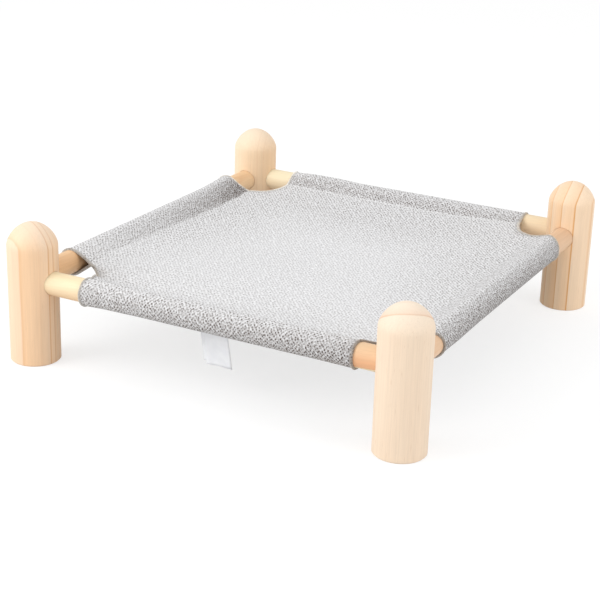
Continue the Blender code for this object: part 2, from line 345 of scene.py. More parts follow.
def pineMaterial(name, centre, grain, values):
    material, tree, shader = newMaterial(name)
    look = {**pineLook, **values}
    place = addNode(tree, "TexCoord").outputs["Object"]
    turned = vectorMaths(tree, "SUBTRACT", place, centre)
    for turn in (grainTurns[grain], (0, look["lean"], 0)):
        turned = addNode(tree, "Mapping", {"Vector": turned, "Rotation": turn}).outputs[0]
    fromPith = vectorMaths(tree, "SUBTRACT", turned, (*look["pith"], 0))
    wood = useGroup(tree, woodGrain, Vector=fromPith, Wander=look["wander"])
    tone, lines, inner = 0.0, 0.0, look["inner"]
    ringShape = {"Distance": wood["Distance"], "Rise": look["rise"], "LineWidth": look["lineWidth"]}
    for outer, darkening, strength in look["rings"]:
        ring = useGroup(tree, growthRing, Inner=inner, Outer=outer, **ringShape)
        lines = timesPlus(tree, ring["Line"], strength, lines)
        if darkening:
            tone = timesPlus(tree, ring["Tone"], darkening, tone)
            inner = outer
    tone = maths(tree, "SUBTRACT", tone, look["mottle"] / 2)
    mottled = timesPlus(tree, wood["Mottle"], look["mottle"], tone, clamp=True)
    body = mixColours(tree, mottled, look["early"], look["late"])
    body = mixColours(tree, lines, body, look["line"])
    streaks = ramp(tree, wood["Fibre"], 0.0, 1.0, *look["streaks"], smooth=False)
    body = mixColours(tree, 1.0, body, streaks, "MULTIPLY")
    # painted highlight: paler towards the top of the dome
    if look["domeHighlightShare"]:
        height = addNode(tree, "SeparateXYZ", {"Vector": place}).outputs["Z"]
        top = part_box("post_back_left")[1].z
        domeHighlightFrom = top - postShape["domeHeight"] * look["domeHighlightRun"]
        highlightMask = ramp(tree, height, domeHighlightFrom, top, 0.0, look["domeHighlightShare"])
        body = mixColours(tree, highlightMask, body, look["domeHighlightTone"])
    dots = times(tree, wood["Canals"], look["canals"])
    gloss = look["roughness"] + look["glossSpread"] / 2
    shown = {
        "Base Color": mixColours(tree, dots, body, look["canal"]),
        "Roughness": timesPlus(tree, wood["Fibre"], -look["glossSpread"], gloss),
        "Specular IOR Level": look["specular"],
    }
    setInputs(tree, shader, shown)
    canals = times(tree, wood["Canals"], look["canalDepth"])
    addBump(tree, shader, maths(tree, "SUBTRACT", wood["Fibre"], canals), look["bump"])
    return material


# Two vertices closer than this are one
sameSpot = 1e-6


def finishMesh(bm, name, sharpAngle=35):
    bmesh.ops.remove_doubles(bm, verts=bm.verts, dist=sameSpot)
    bmesh.ops.recalc_face_normals(bm, faces=bm.faces)
    mesh = bpy.data.meshes.new(name)
    bm.to_mesh(mesh)
    bm.free()
    mesh.shade_smooth()
    mesh.set_sharp_from_angle(angle=math.radians(sharpAngle))
    return mesh


def appliedMesh(helper):
    bpy.context.view_layer.update()
    evaluated = helper.evaluated_get(bpy.context.evaluated_depsgraph_get())
    mesh = bpy.data.meshes.new_from_object(evaluated)
    bpy.data.objects.remove(helper)
    return mesh


def thickenedMesh(helper, thickness, evenNormals=False):
    thick = helper.modifiers.new("thickness", "SOLIDIFY")
    thick.thickness = thickness
    thick.offset = 0
    thick.use_quality_normals = evenNormals
    return appliedMesh(helper)


def addPiece(name, mesh, material, slot, *nodes):
    piece = addObject(name, mesh)
    mesh.materials.clear()
    mesh.materials.append(material)
    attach(piece, "root")
    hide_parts(*nodes)
    return piece


def spunProfile(profile, steps):
    bm = bmesh.new()
    points = [bm.verts.new((radius, 0, height)) for radius, height in profile]
    edges = [bm.edges.new(pair) for pair in zip(points, points[1:])]
    turned = {"cent": (0, 0, 0), "axis": (0, 0, 1), "angle": math.tau, "steps": steps}
    bmesh.ops.spin(bm, geom=points + edges, use_merge=True, **turned)
    bmesh.ops.remove_doubles(bm, verts=bm.verts, dist=sameSpot)
    return bm


def turnAndMove(bm, angle, axis, place):
    turn = Matrix.Rotation(angle, 3, axis)
    bmesh.ops.rotate(bm, cent=(0, 0, 0), matrix=turn, verts=bm.verts)
    bmesh.ops.translate(bm, vec=place, verts=bm.verts)


# Posts: turned dowels with a domed top, a broken foot edge and two blind sockets

postShape = {
    "domeHeight": 0.022,
    "domeFullness": 1.5,
    "footChamfer": 0.0012,
    "steps": 96,
    "domeSteps": 22,
    "wallSteps": 30,
    "socketFloor": 0.0133,
    "socketPlay": 0.0003,
    "socketSteps": 64,
    "cutterEnd": 0.05,
}
postWood = {
    "front_left": {
        "pith": (0.0308, 0.062),
        "inner": 0.046,
        "rings": [
            (0.057, 0.6, 0.2),
            (0.0633, 0.6, 0.7),
            (0.0694, 0.5, 0.9),
            (0.0787, 0.0, 0.15),
            (0.091, 0.7, 0.35),
        ],
        "rise": 0.6,
        "lineWidth": 0.0018,
        "early": (0.87, 0.64, 0.45),
        "late": (0.89, 0.575, 0.325),
        "domeHighlightShare": 0.35,
    },
    "front_right": {
        "pith": (-0.0047, 0.0088),
        "inner": 0.002,
        "rings": [(0.011, 0.3, 0.1), (0.025, 1.0, 0.8), (0.06, 1.0, 0.0)],
        "rise": 2.4,
        "early": (0.89, 0.715, 0.545),
        "late": (0.85, 0.57, 0.4),
        "canals": 0.3,
        "domeHighlightShare": 0.42,
    },
    "back_left": {
        "pith": (-0.06, -0.03),
        "inner": 0.038,
        "rings": [(0.075, 0.0, 0.2), (0.0814, 0.0, 0.15), (0.096, 1.0, 0.3)],
        "early": (0.9, 0.735, 0.53),
        "late": (0.88, 0.605, 0.375),
        "domeHighlightShare": 0.35,
    },
    "back_right": {
        "pith": (-0.05, -0.01),
        "inner": 0.026,
        "rings": [
            (0.0365, 1.0, 0.6),
            (0.0501, 1.0, 0.7),
            (0.063, 0.8, 1.3),
            (0.0751, 0.3, 0.4),
            (0.09, 0.85, 0.0),
        ],
        "rise": 0.6,
        "line": (0.76, 0.39, 0.15),
        "lineWidth": 0.0014,
        "early": (0.95, 0.735, 0.53),
        "late": (0.93, 0.625, 0.375),
        "domeHighlightShare": 0.15,
    },
}


def postProfile():
    size = sizeOf("post_front_left")
    radius, height = size.x / 2, size.z
    chamfer, dome = postShape["footChamfer"], postShape["domeHeight"]
    wall = height - dome - chamfer
    profile = [(0, 0), (radius - chamfer, 0)]
    for step in range(postShape["wallSteps"] + 1):
        profile.append((radius, chamfer + wall * step / postShape["wallSteps"]))
    for step in range(1, postShape["domeSteps"]):
        climb = math.sin(step / postShape["domeSteps"] * math.pi / 2)
        narrowed = radius * math.sqrt(1 - climb ** postShape["domeFullness"])
        profile.append((narrowed, height - dome + dome * climb))
    return profile + [(0, height)]


def addPosts():
    play = railRadius + postShape["socketPlay"]
    floor, reach = postShape["socketFloor"] - postShape["socketPlay"], postShape["cutterEnd"]
    socketProfile = [(0, floor), (play, floor), (play, reach), (0, reach)]
    for corner, (sideX, sideY) in corners.items():
        bm = spunProfile(postProfile(), postShape["steps"])
        body = addObject("postBody", finishMesh(bm, "postBody"))
        cutters = []
        for axis, sign in (("Y", -sideX), ("X", sideY)):
            bm = spunProfile(socketProfile, postShape["socketSteps"])
            turnAndMove(bm, sign * math.pi / 2, axis, (0, 0, railHeight))
            cutter = addObject("socketCutter", finishMesh(bm, "socketCutter"))
            cut = body.modifiers.new("socket", "BOOLEAN")
            cut.operation = "DIFFERENCE"
            cut.solver = "EXACT"
            cut.object = cutter
            cutters.append(cutter)
        shape = appliedMesh(body)
        for cutter in cutters:
            bpy.data.objects.remove(cutter)
        bm = bmesh.new()
        bm.from_mesh(shape)
        centre = middleOf(f"post_{corner}")
        bmesh.ops.translate(bm, vec=(centre.x, centre.y, 0), verts=bm.verts)
        mesh = finishMesh(bm, f"post{corner}")
        look = pineMaterial(f"pine_{corner}", (centre.x, centre.y, 0), "z", postWood[corner])
        addPiece(f"turned_post_{corner}", mesh, look, "pine", f"post_{corner}")


# Rails: plain dowels with a broken end edge

railShape = {"chamfer": 0.0008, "steps": 64, "runSteps": 24}
railWood = {
    "front": {
        "pith": (0.035, 0.0),
        "inner": 0.022,
        "rings": [(0.055, 1.2, 0.0)],
        "early": (0.865, 0.735, 0.49),
        "late": (0.83, 0.455, 0.245),
        "lean": 0.07,
    },
    "back": {
        "pith": (0.035, 0.01),
        "inner": 0.022,
        "rings": [(0.055, 0.9, 0.0)],
        "early": (0.88, 0.78, 0.55),
        "late": (1.0, 0.7, 0.44),
        "lean": 0.05,
    },
    "left": {
        "pith": (-0.03, 0.024),
        "inner": 0.018,
        "rings": [(0.043, 0.3, 0.35), (0.064, 1.0, 0.0)],
        "early": (0.88, 0.64, 0.4),
        "late": (0.79, 0.45, 0.22),
        "lean": -0.06,
    },
    # painted shade: the right rail's late tone is darker than the other rails', standing for the shade near
    # the back right post
    "right": {
        "pith": (-0.026, 0.03),
        "inner": 0.04,
        "rings": [(0.047, 0.0, 0.25), (0.054, 0.0, 0.25), (0.066, 1.1, 0.0)],
        "early": (0.9, 0.64, 0.43),
        "late": (0.64, 0.39, 0.23),
        "lean": 0.01,
    },
}


def addRails():
    chamfer, steps = railShape["chamfer"], railShape["runSteps"]
    for side, (axis, _) in sides.items():
        node = f"rail_{side}"
        length = max(sizeOf(node))
        half, run = length / 2, length - 2 * chamfer
        profile = [(0, -half), (railRadius - chamfer, -half)]
        profile += [(railRadius, chamfer - half + run * step / steps) for step in range(steps + 1)]
        profile += [(railRadius - chamfer, half), (0, half)]
        bm = spunProfile(profile, railShape["steps"])
        turnAndMove(bm, math.pi / 2, "Y" if axis == "x" else "X", middleOf(node))
        look = pineMaterial(f"pine_rail_{side}", tuple(middleOf(node)), axis, railWood[side])
        addPiece(f"dowel_rail_{side}", finishMesh(bm, node), look, "pine", node)


addPosts()
addRails()
print("posts and rails turned")


# The sling: one flat cut, folded over the rails, sewn, and pulled taut

slingCut = {
    "cloth": 0.0009,
    "play": 0.0001,
    "seamReach": 0.025,
    "hem": 0.109,  # flat, from the crease at a seam to the raw edge
    "hemSteps": 44,
    "sideSteps": 14,
    "middleSteps": (66, 82),
    "foldUnder": 0.0016,
    "flapDroop": 0.12,
    "mouthRun": 0.06,  # how far a slanted mouth pulls at its sleeve
    "heldRun": 0.012,  # how far from its seams the cloth gives way when it settles
    "creaseWidth": 0.003,
    "relax": 24,
    "relaxed": (0.05, 0.045),  # the loosened squares: their middle from the posts, and their half width
}
# From the post's axis to the end of the sleeve along X and of the one along Y, and the corner's radius
notchEnds = {
    "front_left": (0.064, 0.062, 0.064),
    "front_right": (0.045, 0.0535, 0.066),
    "back_left": (0.0555, 0.066, 0.045),
    "back_right": (0.052, 0.059, 0.047),
}
# Along each rail: how far in its crease lies, how far the loop hangs off the rail or, below zero, stands
# off it, how open the weave looks on the slope and over the rail, with painted shade set by the same values
# (most on the left slope's back end and on the right sleeve), and the slant of the two mouths
sleeveShape = {
    "front": {
        "crease": {-0.14: 0.024, 0.0: 0.025, 0.155: 0.024},
        "slack": {-0.137: 0.0008, -0.115: 0.0003, -0.08: 0.0, 0.13: 0.0, 0.156: 0.0002},
        "slopeOpeningAndShade": {-0.14: 0.3, 0.155: 0.3},
        "railOpeningAndShade": {-0.14: 1.1, 0.02: 1.3, 0.155: 1.75},
    },
    "back": {
        "crease": {-0.145: 0.019, 0.148: 0.019},
        "slack": {-0.145: 0.0002, -0.125: -0.0006, -0.09: -0.0007, -0.06: 0.0, 0.11: 0.0, 0.148: 0.0003},
        "slopeOpeningAndShade": {-0.145: 1.0, 0.148: 0.85},
        "railOpeningAndShade": {-0.145: 1.0, 0.148: 1.0},
    },
    "left": {
        "crease": {-0.158: 0.028, -0.08: 0.027, -0.02: 0.024, 0.03: 0.025, 0.08: 0.0275, 0.16: 0.027},
        "slack": {-0.158: 0.0008, -0.13: 0.0004, -0.09: 0.0, 0.1: 0.0, 0.13: -0.0006, 0.16: -0.0016},
        "slopeOpeningAndShade": {-0.158: 0.15, -0.08: 0.48, -0.02: 0.5, 0.08: 1.35, 0.16: 3.2},
        "railOpeningAndShade": {-0.158: 0.7, -0.08: 0.95, 0.16: 1.1},
    },
    "right": {
        "crease": {-0.165: 0.025, 0.0: 0.024, 0.16: 0.025},
        "slack": {-0.165: 0.0002, -0.12: 0.0004, -0.065: 0.0, 0.16: 0.0},
        "slopeOpeningAndShade": {-0.165: 0.35, 0.16: 0.25},
        "railOpeningAndShade": {-0.165: 1.8, 0.16: 1.8},
        "slant": (0.005, 0.012),
    },
}
# The front sleeve's loose left end stands up behind its crown
sleeveRidge = {"height": 0.0074, "run": 0.045, "lean": 0.7}
# Height of the cloth's middle above the rails' axes
slingHeights = [
    (-0.14, -0.16, 0.0055), (0.155, -0.165, 0.003), (-0.146, 0.16, 0.0008), (0.148, 0.16, 0.0055),
    (-0.173, 0.12, -0.001), (-0.173, 0.07, -0.0015), (-0.175, 0.01, -0.0005), (-0.172, -0.06, 0.0025),
    (-0.171, -0.11, 0.005), (-0.08, 0.199, 0.0012), (0.0, 0.199, 0.001), (0.09, 0.199, 0.002),
    (0.175, 0.1, 0.001), (0.176, 0.0, 0.0), (0.176, -0.1, 0.0005), (-0.08, -0.193, -0.001),
    (0.0, -0.193, -0.0015), (0.09, -0.193, -0.001), (-0.122, -0.195, -0.003), (0.0, 0.0, -0.004),
]


def between(curve, at):
    return float(np.interp(at, list(curve), list(curve.values())))


def fitHeights(points):
    # a thin plate through the given heights
    places = np.array([point[:2] for point in points])
    apart = np.linalg.norm(places[:, None] - places[None], axis=2)
    kernel = apart**2 * np.log(apart + 1e-9)
    plane = np.hstack([np.ones((len(points), 1)), places])
    system = np.block([[kernel, plane], [plane.T, np.zeros((3, 3))]])
    wanted = [point[2] for point in points] + [0, 0, 0]
    return places, np.linalg.solve(system, wanted)


heightPlaces, heightWeights = fitHeights(slingHeights)


def riseAt(x, y):
    apart = np.hypot(heightPlaces[:, 0] - x, heightPlaces[:, 1] - y)
    bent = apart**2 * np.log(apart + 1e-9)
    return float(bent @ heightWeights[:-3] + heightWeights[-3:] @ (1, x, y))


def creaseOf(side, along):
    return between(sleeveShape[side]["crease"], along)


def acrossRail(side, along, reach, rise):
    # a point given along a rail, inwards from its axis and up from it
    axis, sign = sides[side]
    if axis == "x":
        return Vector((along, sign * (postY - reach), railHeight + rise))
    return Vector((sign * (postX - reach), along, railHeight + rise))


def atRail(side, x, y):
    # how far along a rail a point lies, and how far inwards from its axis
    axis, sign = sides[side]
    return (x, postY - sign * y) if axis == "x" else (y, postX - sign * x)


def foldHem(side, along, distance):
    # where a point of the flat hem goes: down the slope, round the rail, back and under the panel
    shape = sleeveShape[side]
    crease, slack = creaseOf(side, along), between(shape["slack"], along)
    radius = railRadius + slingCut["play"] + slingCut["cloth"] / 2 + abs(slack)
    seam = acrossRail(side, along, crease, 0)
    rise = riseAt(seam.x, seam.y)
    under = rise - slingCut["foldUnder"]
    far, nearLow = math.hypot(crease, rise + slack), math.hypot(crease, under + slack)
    first = math.atan2(rise + slack, crease) + math.acos(radius / far)
    last = math.tau + math.atan2(under + slack, crease) - math.acos(radius / nearLow)
    slope = math.sqrt(far**2 - radius**2)
    wrap = radius * (last - first)
    ret = math.sqrt(nearLow**2 - radius**2)
    around = min(max((distance - slope) / wrap, 0.0), 1.0)
    low, high = min(shape["crease"]), max(shape["crease"])
    outer = math.sin(math.pi * around)
    for end, slant in zip((low, high), shape.get("slant", (0.0, 0.0))):
        nearness = max(0.0, 1 - abs(along - end) / slingCut["mouthRun"])
        along += math.copysign(slant * outer * nearness**2, -end)
    if distance < slope:
        share = distance / slope
        reach = crease + (radius * math.cos(first) - crease) * share
        up = rise + (radius * math.sin(first) - slack - rise) * share
        if side == "front":
            nearness = max(0.0, 1 - (along - low) / sleeveRidge["run"])
            up += sleeveRidge["height"] * nearness * math.sin(math.pi * share ** sleeveRidge["lean"])
    elif distance < slope + wrap:
        angle = first + (distance - slope) / radius
        reach, up = radius * math.cos(angle), radius * math.sin(angle) - slack
    elif distance < slope + wrap + ret:
        share = (distance - slope - wrap) / ret
        reach = radius * math.cos(last) * (1 - share) + crease * share
        up = (radius * math.sin(last) - slack) * (1 - share) + under * share
    else:
        reach = crease + distance - slope - wrap - ret
        spot = acrossRail(side, along, reach, 0)
        up = riseAt(spot.x, spot.y) - slingCut["foldUnder"] - slingCut["flapDroop"] * (reach - crease)
    return acrossRail(side, along, reach, up)


def breaksOf(half, low, high):
    # places across the flat cut: raw edge, seam, notch, notch, seam, raw edge
    seam = half - slingCut["seamReach"]
    edge = seam + slingCut["hem"]
    return [-edge, -seam, low - half, half - high, seam, edge]


def creaseShift(side, along, step):
    # moves a seam's grid line to its crease, and less the ones up to the notch
    share = (step - slingCut["hemSteps"]) / slingCut["sideSteps"]
    return (creaseOf(side, along) - slingCut["seamReach"]) * (1 - min(max(share, 0.0), 1.0))


def spread(places, counts):
    found = [places[0]]
    for start, end, count in zip(places, places[1:], counts):
        found += [start + (end - start) * step / count for step in range(1, count + 1)]
    return found


# How open the stretched weave looks, with painted shade set by the same values: over the rail, by the angle
# from its crown, darker lower down, and on the panel, by the share of the way from its middle to the rails,
# which the tilt raises towards the back as painted shade
crownOpeningAndShade = {0.0: 0.15, 0.8: 0.55, 1.5: 0.95, 2.2: 1.0}
panelOpeningAndShade = {0.0: 0.0, 0.45: 0.01, 1.0: 0.15}
# painted shade: the panel is made darker towards the back
paintedShadeTilt = (0.1, 0.3)
slopeFade = 1.6  # how soon the slope's opening follows the crown's


# painted shade: the opening value also darkens the cloth on the slopes and round the rails
def openingAndShadeAt(side, spot):
    along, reach = atRail(side, spot.x, spot.y)
    rise = spot.z - railHeight
    onRail = between(sleeveShape[side]["railOpeningAndShade"], along)
    if reach <= 0 or rise < -railRadius / 2:
        return onRail * between(crownOpeningAndShade, math.atan2(-reach, rise) if reach < 0 else math.pi)
    onSlope = between(sleeveShape[side]["slopeOpeningAndShade"], along)
    share = min(slopeFade * reach / creaseOf(side, along), 1.0)
    return crownOpeningAndShade[0.0] * onRail * (1 - share) + onSlope * share


def loosen(bm, verts, upwards=True):
    axes = {"use_axis_x": True, "use_axis_y": True, "use_axis_z": upwards}
    bmesh.ops.smooth_vert(bm, verts=verts, factor=0.5, **axes)


def flatSheet():
    hem, side = slingCut["hemSteps"], slingCut["sideSteps"]
    middleX, middleY = slingCut["middleSteps"]
    countsX, countsY = (hem, side, middleX, side, hem), (hem, side, middleY, side, hem)
    totalX, totalY = sum(countsX), sum(countsY)
    columns = {
        row: spread(breaksOf(postX, notchEnds[f"{row}_left"][0], notchEnds[f"{row}_right"][0]), countsX)
        for row in ("front", "back")
    }
    rows = {
        row: spread(breaksOf(postY, notchEnds[f"front_{row}"][1], notchEnds[f"back_{row}"][1]), countsY)
        for row in ("left", "right")
    }
    bm = bmesh.new()
    bmesh.ops.create_grid(bm, x_segments=totalX, y_segments=totalY, size=0.5)
    index = {}
    for vert in bm.verts:
        index[round((vert.co.x + 0.5) * totalX), round((vert.co.y + 0.5) * totalY)] = vert
    cut = hem + side
    gone = [vert for (i, j), vert in index.items() if max(min(i, totalX - i), min(j, totalY - j)) < cut]
    for (i, j), vert in index.items():
        upShare = min(max((j - cut) / middleY, 0.0), 1.0)
        acrossShare = min(max((i - cut) / middleX, 0.0), 1.0)
        x = columns["front"][i] * (1 - upShare) + columns["back"][i] * upShare
        y = rows["left"][j] * (1 - acrossShare) + rows["right"][j] * acrossShare
        moveX = creaseShift("left", y, i) - creaseShift("right", y, totalX - i)
        moveY = creaseShift("front", x, j) - creaseShift("back", x, totalY - j)
        vert.co = (x + moveX, y + moveY, 0)
    edges = {}
    for corner, (sideX, sideY) in corners.items():
        endX, endY, radius = notchEnds[corner]
        atX = cut if sideX < 0 else totalX - cut
        atY = cut if sideY < 0 else totalY - cut
        hubX, hubY = endX - radius, endY - radius
        # up the end of the sleeve along X, and back down the end of the sleeve along Y
        up = [(atX, k if sideY < 0 else totalY - k) for k in range(cut + 1)]
        down = [(k if sideX < 0 else totalX - k, atY) for k in range(cut - 1, -1, -1)]
        edges[corner] = [index[place] for place in up + down]
        for k, vert in enumerate(edges[corner]):
            if k <= cut:
                share = (postY - sideY * vert.co.y - hubY) / radius
                angle = share * math.pi / 4
            else:
                share = (postX - sideX * vert.co.x - hubX) / radius
                angle = (2 - share) * math.pi / 4
            if share > 0:
                vert.co.x = sideX * (postX - hubX - radius * math.cos(angle))
                vert.co.y = sideY * (postY - hubY - radius * math.sin(angle))
    bmesh.ops.delete(bm, geom=gone, context="VERTS")
    middle, halfWidth = slingCut["relaxed"]
    near = [
        vert
        for vert in bm.verts
        if not vert.is_boundary
        and abs(abs(vert.co.x) - postX + middle) < halfWidth
        and abs(abs(vert.co.y) - postY + middle) < halfWidth
    ]
    for _ in range(slingCut["relax"]):
        loosen(bm, near, upwards=False)
    bm.verts.index_update()
    return bm, {corner: [vert.index for vert in chain] for corner, chain in edges.items()}


def foldSheet(bm):
    flat = bm.loops.layers.uv.new("flatCloth")
    # the weave's opening, partly the stretched weave and partly painted shade carried into the cloth's
    # colour
    openingAndShade = bm.verts.layers.float.new("openingAndShade")
    held = bm.verts.layers.float.new("held")
    for face in bm.faces:
        for loop in face.loops:
            loop[flat].uv = loop.vert.co.xy
    creases = []
    for vert in bm.verts:
        x, y = vert.co.x, vert.co.y
        places = {side: atRail(side, x, y) for side in sides}
        beyond = {side: creaseOf(side, along) - reach for side, (along, reach) in places.items()}
        side = max(beyond, key=beyond.get)
        distance = beyond[side]
        if distance > sameSpot:
            vert.co = foldHem(side, places[side][0], distance)
            vert[openingAndShade] = openingAndShadeAt(side, vert.co)
        else:
            vert.co.z = railHeight + riseAt(x, y)
            # painted shade: the panel's opening, and with it its darkness, grows towards the back
            paintedBackShade = paintedShadeTilt[0] + paintedShadeTilt[1] * y / postY
            vert[openingAndShade] = between(panelOpeningAndShade, max(abs(x) / postX, abs(y) / postY) + paintedBackShade)
        vert[held] = min(max(1 + distance / slingCut["heldRun"], 0.0), 1.0)
        if abs(distance) < slingCut["creaseWidth"] and not vert.is_boundary:
            creases.append(vert)
    loosen(bm, creases)


# The panel settles between its sewn seams

slingCloth = {"frames": 24, "gravity": 0.35, "furthest": 0.0035}
clothSettings = {
    "quality": 6,
    "mass": 0.35,
    "tension_stiffness": 40,
    "compression_stiffness": 40,
    "shear_stiffness": 20,
    "bending_stiffness": 4,
    "shrink_min": 0.0025,
}


def settleSheet(sheet):
    mesh = sheet.data
    values = np.zeros(len(mesh.vertices))
    mesh.attributes["held"].data.foreach_get("value", values)
    pins = sheet.vertex_groups.new(name="held")
    for index, value in enumerate(values):
        pins.add([index], float(value), "REPLACE")
    cloth = sheet.modifiers.new("settle", "CLOTH")
    for name, value in clothSettings.items():
        setattr(cloth.settings, name, value)
    cloth.settings.vertex_group_mass = "held"
    cloth.settings.effector_weights.gravity = slingCloth["gravity"]
    cloth.collision_settings.use_collision = False
    cloth.point_cache.frame_end = slingCloth["frames"]
    scene = bpy.context.scene
    for step in range(1, slingCloth["frames"] + 1):
        scene.frame_set(step)
    settled = sheet.evaluated_get(bpy.context.evaluated_depsgraph_get()).data
    for before, after in zip(mesh.vertices, settled.vertices):
        move = after.co - before.co
        if move.length > slingCloth["furthest"]:
            move = move.normalized() * slingCloth["furthest"]
        before.co += move
    sheet.modifiers.remove(cloth)
    scene.frame_set(1)


# The cloth's look. Each pair of pits is how dark the shallowest and the deepest one is.

clothLook = {
    "pitches": (0.0028, 0.0024),  # on the panel and over the rails
    "weave": {"Fleck": 0.0009, "Unevenness": 0.5, "Sway": 0.3},
    "light": (0.812, 0.816, 0.827),
    "dark": (0.215, 0.168, 0.145),
    "pit": (0.085, 0.058, 0.043),
    "panelFlecks": 0.18,
    "railFlecks": 0.5,
    "panelPits": (0.38, 1.15),
    "sparseness": 1.5,
    "calmMiddle": 0.32,
    "railPits": (0.18, 1.1),
    # painted shade: how much the yarn darkens for each unit of opening
    "paintedRailShade": 0.09,
    "closing": 0.4,
    "relief": 0.5,
    "fleckDepth": 0.4,
    "bumpHeight": 0.0005,
    # painted highlight on the yarn crowns, set by the weave's relief
    "paintedLight": 0.24,
    "surface": {"Roughness": 0.95, "Specular IOR Level": 0.12, "Sheen Weight": 0.12, "Sheen Roughness": 0.6},
}


def clothMaterial():
    look = clothLook
    material, tree, shader = newMaterial("melangeCloth")
    flat = addNode(tree, "UVMap", uv_map="flatCloth").outputs[0]
    # the opening value: partly the stretched weave, partly painted shade on the slopes and sleeves
    openingAndShade = addNode(tree, "Attribute", attribute_name="openingAndShade").outputs["Fac"]
    weave, railWeave = [
        useGroup(tree, melangeWeave, Vector=flat, Pitch=pitch, **look["weave"])
        for pitch in look["pitches"]
    ]
    flecks = mixValues(tree, openingAndShade, look["panelFlecks"], look["railFlecks"])
    dark = times(tree, railWeave["Dash"], flecks)
    yarn = mixColours(tree, dark, look["light"], look["dark"])
    sparse = maths(tree, "POWER", weave["Depth"], look["sparseness"])
    deep = ramp(tree, sparse, 0, 1, *look["panelPits"], smooth=False)
    closed = timesPlus(tree, openingAndShade, -look["closing"], 1.0, clamp=True)
    calm = ramp(tree, openingAndShade, 0.0, panelOpeningAndShade[1.0], look["calmMiddle"], 1.0, smooth=False)
    onPanel = times(tree, times(tree, weave["Pit"], deep), calm)
    deep = ramp(tree, railWeave["Depth"], 0, 1, *look["railPits"], smooth=False)
    onRail = times(tree, times(tree, railWeave["Pit"], deep), openingAndShade)
    pitted = timesPlus(tree, onPanel, closed, onRail, clamp=True)
    relief = mixValues(tree, maths(tree, "MINIMUM", openingAndShade, 1.0), weave["Relief"], railWeave["Relief"])
    # painted highlight: the yarn is lighter where its relief stands high and darker towards the pits
    paintedLight = timesPlus(tree, relief, look["paintedLight"], 1 - look["paintedLight"] / 2)
    # painted shade: the yarn darkens as the opening value grows, most on the slopes and round the rails
    paintedLight = times(tree, paintedLight, timesPlus(tree, openingAndShade, -look["paintedRailShade"], 1.0))
    body = mixColours(tree, pitted, yarn, look["pit"])
    body = mixColours(tree, 1.0, body, paintedLight, "MULTIPLY")
    setInputs(tree, shader, {"Base Color": body, **look["surface"]})
    height = timesPlus(tree, railWeave["Dash"], -look["fleckDepth"], relief)
    addBump(tree, shader, height, look["relief"], look["bumpHeight"])
    return material


# Threads and satin

threadLook = {
    "noise": {"Fine": (2600, 2600, 2600), "Slow": (260, 260, 260), "FineShare": 0.6, "SlowShare": 0.5},
    "toneRange": (0.36, 0.52),
    "roughness": (0.8, 0.8),
    "sheen": 0.15,
    "bump": 0.5,
}
satinLook = {
    "noise": {"Fine": (900, 5200, 1), "Slow": (90, 120, 1), "FineShare": 0.35, "SlowShare": 0.65},
    "toneRange": (0.3, 0.7),
    "roughness": (0.34, 0.48),
    "sheen": 0.2,
    "bump": 0.3,
}
satinTones = ((0.94, 0.95, 0.97), (0.86, 0.87, 0.9))


def fibreMaterial(name, look, light, dark, flatMap=None):
    material, tree, shader = newMaterial(name)
    if flatMap:
        place = addNode(tree, "UVMap", uv_map=flatMap).outputs[0]
    else:
        place = addNode(tree, "TexCoord").outputs["Object"]
    fibre = useGroup(tree, fibreTone, Vector=place, **look["noise"])
    shown = {
        "Base Color": mixColours(tree, ramp(tree, fibre["Tone"], *look["toneRange"]), dark, light),
        "Roughness": ramp(tree, fibre["Fibre"], 0.2, 0.8, *look["roughness"]),
        "Sheen Weight": look["sheen"],
    }
    setInputs(tree, shader, shown)
    addBump(tree, shader, fibre["Fibre"], look["bump"])
    return material


def addSling():
    bm, edges = flatSheet()
    area = sum(face.calc_area() for face in bm.faces)
    places = [[vert.co[axis] for vert in bm.verts] for axis in (0, 1)]
    flat = tuple(max(along) - min(along) for along in places)
    foldSheet(bm)
    bmesh.ops.recalc_face_normals(bm, faces=bm.faces)
    if max(bm.faces, key=lambda face: face.calc_center_median().z).normal.z < 0:
        bmesh.ops.reverse_faces(bm, faces=bm.faces)
    mesh = bpy.data.meshes.new("sling")
    bm.to_mesh(mesh)
    bm.free()
    sheet = addObject("slingSheet", mesh)
    settleSheet(sheet)
    print("sling settled")
    chains = edgeChains(mesh, edges)
    mesh.shade_smooth()
    mesh = thickenedMesh(sheet, slingCut["cloth"], evenNormals=True)
    nodes = ["sling_panel", *(f"sleeve_{side}" for side in sides)]
    sling = addPiece("melange_sling", mesh, clothMaterial(), "melange_cloth", *nodes)
    return sling, chains, flat, area


def edgeChains(mesh, edges):
    # points, upward directions and directions into the cloth along each notch's cut edge
    neighbours = {}
    for edge in mesh.edges:
        a, b = edge.vertices
        neighbours.setdefault(a, []).append(b)
        neighbours.setdefault(b, []).append(a)
    chains = {}
    for corner, chain in edges.items():
        onEdge = set(chain)
        found = []
        for index in chain:
            vert = mesh.vertices[index]
            inner = [mesh.vertices[n].co for n in neighbours[index] if n not in onEdge]
            inside = sum(inner, Vector()) / len(inner) - vert.co if inner else Vector()
            found.append((vert.co.copy(), vert.normal.copy(), inside))
        chains[corner] = found
    return chains


# Overlocked edge of each notch: a thread that loops over the cut edge

overlockShape = {
    "pitch": 0.00125,
    "loopPoints": 10,
    "thread": 0.00038,
    "reach": 0.0013,
    "rise": 0.00125,
    "inset": 0.0004,
    "looseness": 0.06,
    "seed": 7,
}
